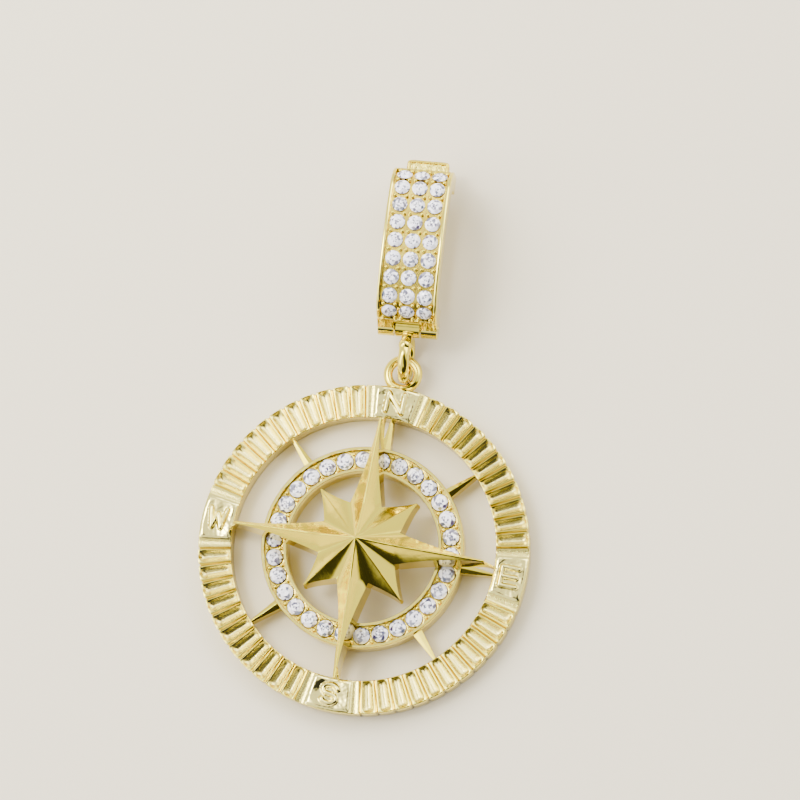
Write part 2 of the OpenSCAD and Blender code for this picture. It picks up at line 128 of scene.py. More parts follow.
# %% [markdown]
# ## Light
#
# Polished metal shows what stands round it more than its own colour. Here that is a bright open sky with one
# large dark shape leaning in over the pendant: slopes that face it go nearly black, and the others go cream. The
# shape is what lies near two lines that get wider along their length. Slow noise makes the rest uneven, as clouds
# do. Two more lines glow like thin cloud, to the left and behind. The sun is a small bright patch at the end of
# one of them, and every rounded edge mirrors it as a thin bright line.

# %% Sky
# Each line: its start, its width there, its end, its width there.
DARK_LINES = [((0.12, -0.12, 0.985), 0.5, (0.6, -0.62, 0.505), 0.9),
              ((0.07, -0.945, 0.31), 0.72, (0.8, -0.57, 0.19), 0.85)]
GLOW_LINES = [((-0.8, -0.35, 0.49), 1.0, (-0.42, 0.12, 0.9), 0.8),
              ((0.1, 0.62, 0.778), 0.8, (0.66, 0.42, 0.62), 1.1)]
SUN_LINE = ((-0.5, 0.08, 0.86), 1.0, (-0.4, 0.14, 0.905), 1.0)
DARK_COLOUR, BRIGHT_COLOUR = (0.03, 0.031, 0.034, 1), (1.0, 0.985, 0.94, 1)
SKY_LEVEL, SKY_UNEVEN, SKY_GLOW, SUN_GLOW = 1.1, 1.3, 7.0, 26.0
DARK_EDGE, GLOW_EDGE, SUN_EDGE = (0.36, 0.62), (0.36, 0.1), (0.15, 0.06)
CLOUD_SCALE, EDGE_WAVE = 3.0, 0.3


def to_line(tree, direction, start, start_width, end, end_width):
    """A direction's distance to the line from start to end, over the line's width at the nearest place."""
    start, run = Vector(start), Vector(end) - Vector(start)
    from_start = vector_maths(tree, "SUBTRACT", "Vector", direction, start)
    along = vector_maths(tree, "DOT_PRODUCT", "Value", from_start, run / run.length_squared)
    share = maths(tree, "ADD", along, 0.0, use_clamp=True)
    nearest = vector_maths(tree, "MULTIPLY_ADD", "Vector", share, run, start)
    gap = vector_maths(tree, "DISTANCE", "Value", nearest, direction)
    return maths(tree, "DIVIDE", gap, maths(tree, "MULTIPLY_ADD", share, end_width - start_width, start_width))


sky = bpy.data.worlds.new("sky")
bpy.context.scene.world = sky
sky.use_nodes = True
tree = sky.node_tree
tree.nodes.clear()
direction = new_node(tree, "TexCoord")["Generated"]
clouds = noise(tree, direction, CLOUD_SCALE, 2.0)
to_dark = maths(tree, "MINIMUM", *[to_line(tree, direction, *line) for line in DARK_LINES])
wavy = maths(tree, "ADD", to_dark, maths(tree, "MULTIPLY_ADD", clouds, EDGE_WAVE, -EDGE_WAVE / 2))
to_glow = maths(tree, "MINIMUM", *[to_line(tree, direction, *line) for line in GLOW_LINES])
glow = soft_step(tree, to_glow, *GLOW_EDGE, SKY_GLOW)
sun = soft_step(tree, to_line(tree, direction, *SUN_LINE), *SUN_EDGE, SUN_GLOW)
strength = maths(tree, "MULTIPLY_ADD", clouds, SKY_UNEVEN, SKY_LEVEL)
for extra in (sun, glow):
    strength = maths(tree, "ADD", strength, extra)
colour = mixed(tree, soft_step(tree, wavy, *DARK_EDGE), DARK_COLOUR, BRIGHT_COLOUR)
back = new_node(tree, "Background", {"Color": colour, "Strength": strength})["Background"]
new_node(tree, "OutputWorld", {"Surface": back})
print("sky's nodes:", len(tree.nodes))

# %% [markdown]
# The sky alone gives hardly any shadow. One square soft lamp behind on the left gives the floor its faint ones.
# The metal doesn't mirror it, because the sky already holds everything that the metal shows.

# %% Lamp
LAMP_AT, LAMP_SIZE, LAMP_POWER = Vector((-150, 130, 180)), 190, 1.2
light = bpy.data.lights.new("key_lamp", "AREA")
light.size = LAMP_SIZE * MM
light.energy = LAMP_POWER
light.color = (1.0, 0.98, 0.94)
lamp = bpy.data.objects.new("key_lamp", light)
lamp.location = LAMP_AT * MM
lamp.rotation_euler = (-LAMP_AT).to_track_quat("-Z", "Y").to_euler()
lamp.visible_glossy = False
bpy.context.scene.collection.objects.link(lamp)
print("lamp, mm:", list(LAMP_AT))

# %% [markdown]
# ## Gold
#
# The metal is a yellow gold, and it isn't the same all over. The star, the wire and the plain bands are polished and
# deep in colour. The letter pads are flat and paler, and a wide shallow unevenness breaks up what they mirror. The
# rim keeps the grain of the casting in its flutes. The floors under the stones are rougher, and their colour is
# darkened and made warmer as painted shade, for the shade and the gold's own reflections in these recesses. All four
# finishes are one function with different numbers. Noise on Object coordinates makes each a little uneven, in
# roughness and in a shallow bump. How much casting shows at a place, and in the sunk finish how much painted shade,
# is a value in the mesh itself, named casting_and_shade.

# %% Gold materials
GOLD, DEEP_GOLD, PALE_GOLD = (0.84, 0.71, 0.15, 1.0), (0.8, 0.65, 0.07, 1.0), (0.86, 0.76, 0.25, 1.0)
SAND_SIZE = 0.1


def new_finish(name, inputs_of):
    """A material with one shader. inputs_of takes its node tree and gives the shader's inputs."""
    finish = bpy.data.materials.new(name)
    finish.use_nodes = True
    tree = finish.node_tree
    tree.nodes.clear()
    shader = new_node(tree, "BsdfPrincipled", inputs_of(tree))["BSDF"]
    new_node(tree, "OutputMaterial", {"Surface": shader})
    return finish


def gold_finish(name, colour, gloss, grain, grain_size, cast_gloss=0.0, cast_grain=0.0, cast_and_shade_tint=(1, 1, 1)):
    """A metal whose roughness wanders round gloss, with bumps grain mm deep and about grain_size mm across.

    Where the mesh's own value casting_and_shade is 1, roughness and fine bumps grow by cast_gloss and cast_grain,
    and the colour is multiplied by cast_and_shade_tint. In the sunk finish that tint is painted shade.
    """
    def inputs_of(tree):
        where = new_node(tree, "TexCoord")["Object"]
        uneven = noise(tree, where, 1.0 / (grain_size * MM), 3.0)
        shown, rough = colour, maths(tree, "MULTIPLY_ADD", uneven, gloss, gloss * 0.5)
        height = maths(tree, "MULTIPLY", uneven, grain * MM)
        if cast_grain:
            casting_and_shade = new_node(tree, "Attribute", attribute_name="casting_and_shade")["Fac"]
            sand = noise(tree, where, 1.0 / (SAND_SIZE * MM), 2.0)
            rough = maths(tree, "MULTIPLY_ADD", casting_and_shade, cast_gloss, rough)
            height = maths(tree, "MULTIPLY_ADD", sand, maths(tree, "MULTIPLY", casting_and_shade, cast_grain * MM), height)
            shown = mixed(tree, casting_and_shade, colour, [c * f for c, f in zip(colour, (*cast_and_shade_tint, 1.0))])
        bump = new_node(tree, "Bump", {"Distance": 1.0, "Height": height})["Normal"]
        return {"Metallic": 1.0, "Base Color": shown, "Roughness": rough, "Normal": bump}

    return new_finish(name, inputs_of)


polished = gold_finish("gold_polished", DEEP_GOLD, 0.09, 0.014, 1.6)
pads = gold_finish("gold_pads", PALE_GOLD, 0.05, 0.17, 2.4)
cast = gold_finish("gold_cast", GOLD, 0.1, 0.008, 0.8, 0.1, 0.022, cast_and_shade_tint=(0.96, 0.98, 1.35))
# The sunk finish's tint is painted shade: on the marked places it darkens the colour and makes it warmer.
sunk_shaded = gold_finish("gold_sunk_shaded", GOLD, 0.09, 0.01, 1.2, 0.08, 0.008, cast_and_shade_tint=(0.88, 0.8, 0.5))
print("gold:", polished.name, pads.name, cast.name, sunk_shaded.name)

# %% [markdown]
# ## Stone finish
#
# A small brilliant looks white with grey and lavender patches, because each facet throws back another part of the
# room. Real refraction would need many bounces and comes out dark at this size. So each stone is opaque here, and
# those patches are painted reflection: each facet's grey is kept as a colour attribute in the mesh, under a hard
# glossy surface that still mirrors the sky.

# %% Stone material
def stone_inputs(tree):
    """A dense glossy shader coloured by the painted reflection kept in the mesh."""
    painted_reflection = new_node(tree, "Attribute", attribute_name="painted_reflection")["Color"]
    return {"Base Color": painted_reflection, "Roughness": 0.03, "IOR": 2.0}


stone_finish = new_finish("stone_brilliant", stone_inputs)
print("stones:", stone_finish.name)

# %% [markdown]
# ## Floor
#
# The pendant lies on a plain pale floor, so large that its edge is never seen.

# %% Floor
FLOOR_SIDE, FLOOR_COLOUR = 1200, (0.66, 0.595, 0.465, 1)
side = FLOOR_SIDE / 2 * MM
floor_mesh = bpy.data.meshes.new("floor")
floor_mesh.from_pydata([(-side, -side, 0), (side, -side, 0), (side, side, 0), (-side, side, 0)], [], [(0, 1, 2, 3)])
floor_mesh.materials.append(new_finish("floor_matt", lambda tree: {"Base Color": FLOOR_COLOUR, "Roughness": 0.9}))
floor = bpy.data.objects.new("floor", floor_mesh)
bpy.context.scene.collection.objects.link(floor)
print("floor, mm:", FLOOR_SIDE)

# %% [markdown]
# ## How the pieces are made
#
# A cast pendant is made of a few kinds of surface: a section that runs round a circle, a bar, a faceted solid.
# Each is written as points on a grid, worked out all at once with numpy. The helpers here give such grids their
# faces, and put any number of parts into one mesh, which is tied to the body that it moves with.

# %% Grid and mesh helpers
def grid_faces(rows, cols, loop_rows=False, loop_cols=False):
    """Corner numbers of a grid's faces, counter-clockwise seen from the side where row x column points."""
    i = np.arange(rows if loop_rows else rows - 1)[:, None]
    j = np.arange(cols if loop_cols else cols - 1)[None, :]
    below, beside = (i + 1) % rows, (j + 1) % cols
    corners = [i * cols + j, below * cols + j, below * cols + beside, i * cols + beside]
    return np.stack([np.broadcast_to(c, (i.size, j.size)) for c in corners], -1).reshape(-1, 4).tolist()


def tube(grid):
    """A part from a grid of points whose columns close into a loop, with its first and last row capped."""
    rows, cols = grid.shape[:2]
    caps = [list(range(cols)), list(range(rows * cols - 1, (rows - 1) * cols - 1, -1))]
    return grid.reshape(-1, 3), grid_faces(rows, cols, loop_cols=True) + caps


def ring(grid):
    """A part from a grid that closes both ways, such as a section carried once round a circle."""
    return grid.reshape(-1, 3), grid_faces(*grid.shape[:2], loop_rows=True, loop_cols=True)


def slab(top, levels):
    """A closed part from a grid that faces up: its border drops straight to each level, and the last is capped."""
    number = np.arange(top[..., 0].size).reshape(top.shape[:2])
    loop = np.concatenate([number[:, 0], number[-1, 1:], number[-2::-1, -1], number[0, -2:0:-1]])
    points = top.reshape(-1, 3)
    skirt = [points[loop] * [1, 1, 0] + [0, 0, level] for level in levels]
    rounds = np.concatenate([loop, number.size + np.arange(len(loop) * len(levels))])
    faces = grid_faces(*number.shape) + rounds[grid_faces(len(levels) + 1, len(loop), loop_cols=True)].tolist()
    return np.concatenate([points] + skirt), faces + [rounds[-len(loop):][::-1].tolist()]


def piece(name, parts, finish, body, node, crease=35.0):
    """One object from parts of (points in mm, faces). Edges sharper than crease degrees stay sharp."""
    points, faces, start = [], [], 0
    for part_points, part_faces in parts:
        points.append(part_points)
        faces += [[start + corner for corner in face] for face in part_faces]
        start += len(part_points)
    mesh = bpy.data.meshes.new(name)
    mesh.from_pydata((np.concatenate(points) * MM).tolist(), [], faces)
    mesh.materials.append(finish)
    mesh.shade_smooth()
    mesh.set_sharp_from_angle(angle=math.radians(crease))
    obj = bpy.data.objects.new(name, mesh)
    bpy.context.scene.collection.objects.link(obj)
    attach(obj, body)
    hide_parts(node)
    print(name, "faces:", len(faces))
    return obj


def rough_where(obj, share, rest=0.0):
    """Keeps how much casting shows at every point, for the finish to read: share at the first ones, then rest. It
    makes the surface rougher, and in the sunk finish it also darkens the colour as painted shade.
    """
    values = np.full(len(obj.data.vertices), rest)
    values[:share.size] = share.ravel()
    obj.data.attributes.new("casting_and_shade", "FLOAT", "POINT").data.foreach_set("value", values)


def bevelled(obj, width=0.03, angle=25.0, segments=2):
    """Rounds an object's sharp edges with a live bevel of that width in mm."""
    soft = obj.modifiers.new("soft_edges", "BEVEL")
    soft.width = width * MM
    soft.segments = segments
    soft.limit_method = "ANGLE"
    soft.angle_limit = math.radians(angle)
    soft.harden_normals = True


print("helpers: a 3 x 3 grid has", len(grid_faces(3, 3)), "faces")

# %% [markdown]
# The disc lies a little turned. Its pieces are all drawn about its own middle, with +X and +Y through two of the
# letters, and carried to their place at the end.

# %% Where the disc lies
DISC, DISC_TURN, DISC_SHIFT = ("pendant", "compass_disc"), -5.8, (0.0, -9.7759, 0.0)


def turned(points, degrees):
    """Points turned about +Z."""
    c, s = math.cos(math.radians(degrees)), math.sin(math.radians(degrees))
    return points @ np.array([[c, s, 0.0], [-s, c, 0.0], [0.0, 0.0, 1.0]])


def on_disc(points, turn=0.0):
    """Points drawn about the disc's middle, turned, and carried to where the disc lies."""
    return turned(points, DISC_TURN + turn) + DISC_SHIFT


def round_disc(section, angles):
    """A part from a section of (radius, height) carried round the disc: x = r cos a, y = r sin a, z = height."""
    a = np.radians(angles)[:, None]
    return ring(on_disc(np.stack([section[..., 0] * np.cos(a), section[..., 0] * np.sin(a), section[..., 1]], -1)))


print("disc's middle, mm:", DISC_SHIFT, "turn:", DISC_TURN)

# %% [markdown]
# ## Fluted rim
#
# The rim has eleven scooped flutes in each quarter, between four plain places for the letters. Cutting each one
# out with a boolean would be slow and leave a broken mesh. Instead the rim's section runs round the circle, and
# the height of its upper side is a formula of the place. A scoop falls away from its lips and its ends like
# 1 - m^1.8. Between the lips of two flutes a shallow groove runs out over the rim's outer edge.

# %% Flutes
RIM_R, RIM_IN, RIM_H = 14.0, 11.2, 1.9
FLUTES, FLUTE_ARC, PLAQUE_DEG = 11, 67.0, 7.6
PITCH, PLAIN = FLUTE_ARC / FLUTES, (90.0 - FLUTE_ARC) / 2
BOWL_SHARE, BOWL_DEPTH, BOWL_CORNER, BOWL_FALL = 0.7, 0.36, 2.6, 1.8
GROOVE_SHARE, GROOVE_DEPTH, LIP_RISE, LIP_HALF, WEDGE_DEPTH = 0.15, 0.2, 0.03, 0.065, 0.16
END_IN, END_OUT, END_LIP, PLAIN_CASTING = 0.3, 0.45, 0.07, 0.25


def flute_relief(angle, r):
    """Height over the rim's top, whether a place has flutes, its share of the way to a groove, and its casting.

    side is 0 in the middle of a flute and 1 in the groove. m is 0 in the middle of the bowl and 1 on its outline:
    (a^2.6 + b^2.6)^(1/2.6), from side and the distance to the bowl's ends, gives it round corners.
    """
    a = np.mod(angle, 90.0) - PLAIN
    in_flutes = (a > 0) & (a < FLUTE_ARC)
    side = np.abs(np.mod(a, PITCH) / PITCH - 0.5) * 2
    into_in = np.clip(1 - (r - RIM_IN - END_LIP) / END_IN, 0, None)
    into_out = np.clip(1 - (RIM_R - END_LIP - r) / END_OUT, 0, None)
    m = ((side / BOWL_SHARE) ** BOWL_CORNER + np.maximum(into_in, into_out) ** BOWL_CORNER) ** (1 / BOWL_CORNER)
    bowl = np.clip(1 - m ** BOWL_FALL, 0, 1)
    into_groove = np.clip((side - 1 + GROOVE_SHARE) / GROOVE_SHARE, 0, 1)
    lip = LIP_RISE * np.clip(1 - ((side - (1 + BOWL_SHARE - GROOVE_SHARE) / 2) / LIP_HALF) ** 2, 0, 1)
    height = -BOWL_DEPTH * bowl - GROOVE_DEPTH * into_groove ** 0.8 + lip
    to_flutes = PLAIN - np.minimum(np.abs(a), np.abs(a - FLUTE_ARC))
    beside = np.clip((to_flutes - PLAQUE_DEG) / (PLAIN - PLAQUE_DEG), 0, 1)
    wedge = -WEDGE_DEPTH * np.clip(1 - (2 * beside - 1) ** 4, 0, 1)
    return np.where(in_flutes, height, wedge), in_flutes, side, np.where(in_flutes, bowl, PLAIN_CASTING)


print("flutes:", 4 * FLUTES, "each", round(PITCH, 2), "degrees wide")

# %% Rim's grid
# The steps lie close together at the lips and near the rim's two edges.
across_flute = np.array([0.001, 0.03, 0.065, 0.085, 0.105, 0.13, 0.15, 0.17, 0.2, 0.24, 0.3, 0.36, 0.43, 0.5])
across_flute = np.concatenate([across_flute, 1 - across_flute[-2:0:-1]])
plain_steps = np.array([0, 0.3, 0.6, 0.66, 0.7, 0.75, 0.82, 0.9, 0.95, 0.98]) * PLAIN
flute_steps = np.concatenate([plain_steps] + [PLAIN + PITCH * (k + across_flute) for k in range(FLUTES)]
                             + [90 - plain_steps[:0:-1]])
round_steps = np.concatenate([flute_steps + 90 * q for q in range(4)])
inward = np.array([0, 0.01, 0.022, 0.035, 0.05, 0.07, 0.1, 0.14, 0.19, 0.26, 0.36, 0.48, 0.6, 0.72, 0.82, 0.88, 0.92,
                   0.945, 0.962, 0.976, 0.988, 1.0])
angle_grid, r_grid = np.meshgrid(round_steps, RIM_R - (RIM_R - RIM_IN) * inward, indexing="ij")
print("rim's top grid:", angle_grid.shape)

# %% Rim
EDGE_SOFT, SCALLOP, FOOT, RIM_WALL_Z = 0.06, 0.13, 0.08, 0.9
relief, in_flutes, side_share, scoop = flute_relief(angle_grid, r_grid)
edge = np.minimum(r_grid - RIM_IN, RIM_R - r_grid)
relief = relief - EDGE_SOFT * np.clip(1 - edge / EDGE_SOFT, 0, 1) ** 2
scallop = np.where(in_flutes, SCALLOP * np.clip((side_share - 0.5) / 0.5, 0, 1) ** 2.5, 0.0)
top = np.stack([r_grid - scallop * ((r_grid - RIM_IN) / (RIM_R - RIM_IN)) ** 3, RIM_H + relief], -1)


def column(r, z, like):
    """The same place of the section at every angle."""
    return np.broadcast_to([r, z], (len(like), 1, 2))


outer = np.stack([top[:, :1, 0], np.full_like(top[:, :1, 0], FOOT)], -1)
foot = [column(RIM_IN, FOOT, top), column(RIM_IN + FOOT, 0.0, top), column(RIM_R - SCALLOP - 0.05, 0.0, top), outer,
        outer * [1, 0] + [0, RIM_WALL_Z]]
section = np.concatenate(foot + [top, column(RIM_IN, RIM_H - 0.15, top), column(RIM_IN, RIM_WALL_Z, top)], axis=1)
rim = piece("fluted_rim", [round_disc(section, round_steps)], cast, *DISC, crease=50)
rough_where(rim, np.pad(np.clip(scoop * 3, 0, 1), ((0, 0), (len(foot), 2))))

# %% [markdown]
# ## Letter plaques
#
# Four pads carry the letters. Each is a slice of the band, with a soft border. A cast letter's edges run softly
# into the ground, so it isn't a separate solid: each pad's top is a grid whose height rises near the letter's
# strokes. The distance from every point to every stroke is worked out at once, and the nearest stroke decides.

# %% Letters
PLAQUE_W, PLAQUE_RISE, PLAQUE_EDGE = 3.5, 0.25, 0.06
LETTER_W, LETTER_H, STROKE, LETTER_RISE = 1.8, 2.0, 0.42, 0.22
lx, ly = (LETTER_W - STROKE) / 2, (LETTER_H - STROKE) / 2
curl = np.radians(np.linspace(15, 270, 14))
upper = np.stack([lx * 0.9 * np.cos(curl), ly / 2 + ly / 2 * np.sin(curl)], -1)
LETTERS = {
    "E": [[(lx, ly), (-lx, ly), (-lx, -ly), (lx, -ly)], [(-lx, 0), (lx * 0.85, 0)]],
    "N": [[(-lx, -ly), (-lx, ly)], [(-lx, ly), (lx, -ly)], [(lx, -ly), (lx, ly)]],
    "W": [[(-lx, ly), (-lx * 0.55, -ly), (0, ly * 0.45), (lx * 0.55, -ly), (lx, ly)]],
    "S": [np.concatenate([upper, -upper[::-1][1:]]).tolist()],
}


def to_strokes(points, lines):
    """Shortest distance from each point to any stroke: the point is projected on the stroke's line and clamped."""
    starts = np.concatenate([line[:-1] for line in lines])
    run = np.concatenate([line[1:] for line in lines]) - starts
    t = ((points[..., None, :] - starts) * run).sum(-1) / (run ** 2).sum(-1)
    nearest = starts + np.clip(t, 0, 1)[..., None] * run
    return np.linalg.norm(points[..., None, :] - nearest, axis=-1).min(-1)


print("strokes:", {letter: len(lines) for letter, lines in LETTERS.items()})


# %% Plaques
def round_corners(u, v, power):
    """How far to pull the points of a square grid inwards, so that its corners are round: a superellipse."""
    reach = (np.abs(u) ** power + np.abs(v) ** power) ** (1 / power)
    return np.maximum(np.abs(u), np.abs(v)) / np.maximum(reach, 1e-9)


PLAQUE_DISH, BORDER_DEPTH, BORDER_W, BORDER_FALL, STROKE_SOFT = 0.05, 0.11, 0.3, 2.2, 0.05
MIDDLE_R, HALF_BAND = (RIM_R + RIM_IN) / 2, (RIM_R - RIM_IN) / 2 - PLAQUE_EDGE


def plaque(letter, quarter):
    """A slice of the band: u runs along the radius and v round the circle.

    Its border sinks like (1 - e / 0.3)^2.2 with e the distance to the edge, and its middle is a shallow dish.
    """
    u, v = np.meshgrid(np.linspace(-1, 1, 84), np.linspace(-1, 1, 100), indexing="ij")
    pull, middle_a = round_corners(u, v, 14), math.radians(90 * quarter)
    r, a = MIDDLE_R + u * pull * HALF_BAND, v * pull * PLAQUE_W / MIDDLE_R / 2 + middle_a
    flat = np.stack([r * np.cos(a), r * np.sin(a)], -1)
    centre = MIDDLE_R * np.array([math.cos(middle_a), math.sin(middle_a)])
    off = np.clip(1 - to_strokes(flat - centre, LETTERS[letter]) / (STROKE / 2 + STROKE_SOFT), 0, 1)
    rise = 1 - (1 - off) ** 2
    edge = np.minimum((1 - np.abs(u)) * HALF_BAND, (1 - np.abs(v)) * PLAQUE_W / 2)
    dish = PLAQUE_DISH * np.clip(1 - np.hypot(u, v) ** 2, 0, 1)
    border = BORDER_DEPTH * np.clip(1 - edge / BORDER_W, 0, 1) ** BORDER_FALL
    z = RIM_H + PLAQUE_RISE + LETTER_RISE * rise - dish * (1 - rise) - border
    points, faces = slab(np.concatenate([flat, z[..., None]], -1), (1.4, 0.3))
    return on_disc(points), faces


piece("letter_plaques", [plaque(letter, quarter) for quarter, letter in enumerate("ENWS")], pads, *DISC)

# %% [markdown]
# ## Stone ring
#
# A low ring carries thirty stones in a channel between two thin rails. Its section has many points across the
# channel, so that the floor can dip into a seat under each stone and the back can open below it. The beads that
# hold the stones are small domes on the floor, two to each gap.

# %% Ring
RING_R, RING_BAND, RING_H, RAIL_W, CHANNEL_DEPTH = 8.55, 2.13, 2.4, 0.25, 0.5
RING_IN, RING_MID = RING_R - RING_BAND, RING_R - RING_BAND / 2
STONES, STONE_D, BEAD_D = 30, 1.4, 0.36
STONE_STEP = 360 / STONES
SEAT_DEPTH, SEAT_GAP, HOLE_R, HOLE_DEPTH, HOLE_SOFT = 0.35, 0.04, 0.425, 0.7, 0.08

ring_angles = np.linspace(0, 360, STONES * 16, endpoint=False)
floor_r = np.linspace(RING_R - RAIL_W - 0.02, RING_IN + RAIL_W + 0.02, 16)
a_grid, r_grid = np.meshgrid(ring_angles, floor_r, indexing="ij")
to_stone = (np.mod(a_grid - 90 + STONE_STEP / 2, STONE_STEP) - STONE_STEP / 2) * math.pi / 180 * r_grid
from_stone = np.hypot(to_stone, r_grid - RING_MID)
dip = SEAT_DEPTH * np.clip(1 - from_stone / (STONE_D / 2 + SEAT_GAP), 0, 1)
channel = np.stack([r_grid, RING_H - CHANNEL_DEPTH - dip], -1)
hole = HOLE_DEPTH * np.clip((HOLE_R - from_stone) / HOLE_SOFT, 0, 1)
under = np.stack([r_grid, 0.02 + hole], -1)[:, ::-1]
rail = [(RING_R, 0.1), (RING_R, 1.2), (RING_R, RING_H - 0.05), (RING_R - 0.04, RING_H),
        (RING_R - RAIL_W + 0.03, RING_H), (RING_R - RAIL_W, RING_H - 0.04)]
section = np.concatenate([column(r, z, channel) for r, z in rail] + [channel]
                         + [column(RING_IN + (RING_R - r), z, channel) for r, z in rail[::-1]] + [under], axis=1)
stone_ring = piece("stone_ring", [round_disc(section, ring_angles)], sunk_shaded, *DISC, crease=40)
# The channel's floor is marked: it comes out rougher, and darker and warmer as painted shade.
rough_where(stone_ring, np.pad(np.ones_like(dip), ((0, 0), (len(rail), len(rail) + len(floor_r)))))


# %% Beads
def carried(shape, faces, centres, normals, spin):
    """One shape at many centres, as one part: its +Z along the normal, turned about it by spin radians."""
    normals, spin = np.broadcast_to(normals, (len(centres), 3)), np.broadcast_to(spin, len(centres))[:, None]
    side = np.cross(normals, [1.0, 0.0, 0.0])
    side /= np.linalg.norm(side, axis=-1, keepdims=True)
    x_axis = np.cos(spin) * side + np.sin(spin) * np.cross(side, normals)
    frames = np.stack([x_axis, np.cross(normals, x_axis), normals], 1)
    points = centres[:, None, :] + shape @ frames
    return points.reshape(-1, 3), [[i * len(shape) + c for c in face] for i in range(len(points)) for face in faces]


def domes(centres, normals, across, rows=5, cols=10):
    """Balls of that diameter at many centres, each with its pole along the normal, as one part."""
    lat = np.linspace(-90, 90, rows + 2)[1:-1] * math.pi / 180
    lon = np.linspace(0, 2 * math.pi, cols, endpoint=False)
    lat, lon = np.meshgrid(lat, lon, indexing="ij")
    ball = np.stack([np.cos(lat) * np.cos(lon), np.cos(lat) * np.sin(lon), np.sin(lat)], -1)
    ball = np.concatenate([[[0, 0, -1.0]], ball.reshape(-1, 3), [[0, 0, 1.0]]]) * across / 2
    k, last, top_pole = np.arange(cols), 1 + (rows - 1) * cols, 1 + rows * cols
    after = (k + 1) % cols
    faces = np.stack([0 * k, 1 + after, 1 + k], -1).tolist()
    faces += [[1 + c for c in face[::-1]] for face in grid_faces(rows, cols, loop_cols=True)]
    faces += np.stack([0 * k + top_pole, last + k, last + after], -1).tolist()
    return carried(ball, faces, centres, normals, math.pi / 2)


UPWARDS, BEAD_SHARE, BEAD_LIFT = [0.0, 0.0, 1.0], 0.385, 0.4
bead_a = np.radians(90 + (np.arange(STONES) + 0.5) * STONE_STEP)[:, None]
bead_r = RING_MID + BEAD_SHARE * STONE_D * np.array([[-1, 1]])
bead_at = np.stack(np.broadcast_arrays(bead_r * np.cos(bead_a), bead_r * np.sin(bead_a),
                                       RING_H - CHANNEL_DEPTH + BEAD_LIFT * BEAD_D), -1).reshape(-1, 3)
piece("ring_beads", [domes(on_disc(bead_at), UPWARDS, BEAD_D)], polished, *DISC, crease=80)

# %% [markdown]
# ## Spurs
#
# Eight ridged spurs run from the ring to the rim. They are bars whose roof-shaped section gets narrower, and a
# small bevel gives their edges the thin bright lines that polishing leaves.

# %% Spurs
SPUR_LOW, SPUR_EDGE = 0.3, 1.5
spur_ends = [(RING_R - 0.15, 0.45, 1.8), (RIM_IN + 0.12, 0.12, 1.58)]
spur = np.stack([[(x, 0, ridge), (x, w, SPUR_EDGE), (x, w, SPUR_LOW), (x, -w, SPUR_LOW), (x, -w, SPUR_EDGE)]
                 for x, w, ridge in spur_ends])
bevelled(piece("spurs", [tube(on_disc(spur, 45 * k)) for k in range(8)], polished, *DISC))

# %% [markdown]
# ## Star
#
# Four long and four short arms meet in a peak. Each arm is a ridge with a slope to either side, and the star's
# upper surface is the highest of the eight arms at every point. On its own, that rule gives knife-sharp creases.
# So the ridge is blunted, sqrt(w^2 + b^2) in place of |w|, and the highest of two neighbours is a smooth one,
# which fills the crease between them. Each arm is a grid of points. Its first rows run out to the valley between
# two arms, where neighbours share their points, and the others narrow down to the tip.

# %% Star's surface
ARM, ARM_TIP, SHORT, SHORT_TIP, VALLEY_R = 10.6, 0.2, 5.8, 0.12, 3.5
PEAK_Z, KNEE_Z, ARM_Z, SHORT_Z = RING_H + 4.7, RING_H + 3.45, RING_H + 2.6, RING_H + 1.2
VALLEY_Z, STAR_BASE = RING_H + 1.9, RING_H - 0.06
VALLEY_U, VALLEY_V = VALLEY_R * math.cos(math.pi / 8), VALLEY_R * math.sin(math.pi / 8)
STAR_TURN, BLUNT, FILL, DRAFT, HOLLOW = 2.6, 0.035, 0.16, 0.14, 0.035
ARM_CURVE, SHORT_CURVE, INNER_ROWS = 1.7, 1.25, 15
SHORT_KNEE = PEAK_Z - (PEAK_Z - SHORT_Z) * VALLEY_U / SHORT


def arm_height(x, y, k):
    """Height of arm k's two slopes at (x, y). Its ridge falls from peak to knee to tip.

    A slope is slightly hollow: it lies 4 h p (1 - p) under its flat, with p from 0 at the ridge to 1 at the valley.
    """
    a = math.radians(45 * k)
    u, w = x * math.cos(a) + y * math.sin(a), y * math.cos(a) - x * math.sin(a)
    length, tip_z, knee_z = (ARM, ARM_Z, KNEE_Z) if k % 2 == 0 else (SHORT, SHORT_Z, SHORT_KNEE)
    ridge = np.interp(u, [0.0, VALLEY_U, length], [PEAK_Z, knee_z, tip_z])
    side = (knee_z - VALLEY_Z) / VALLEY_V
    span = np.maximum(np.interp(u, [0.0, VALLEY_U, length], [0.0, VALLEY_V, 0.0]), 0.05)
    p = np.clip(np.abs(w) / span, 0, 1)
    under = 4 * HOLLOW * p * (1 - p) * span / VALLEY_V
    return np.where(u > -0.01, ridge - side * (np.sqrt(w * w + BLUNT ** 2) - BLUNT) - under, -50.0)


def star_height(x, y):
    """The highest arm, with a soft step: log of the sum of exp(height / fill) over the arms, times fill."""
    arms = np.stack([arm_height(x, y, k) for k in range(8)])
    top = arms.max(0)
    near = np.clip(np.hypot(x, y) / VALLEY_R, 0.05, 1) * FILL
    return top + near * (np.log(np.exp((arms - top) / near).sum(0)) - np.log(1 + np.exp(-1.5 / near)))


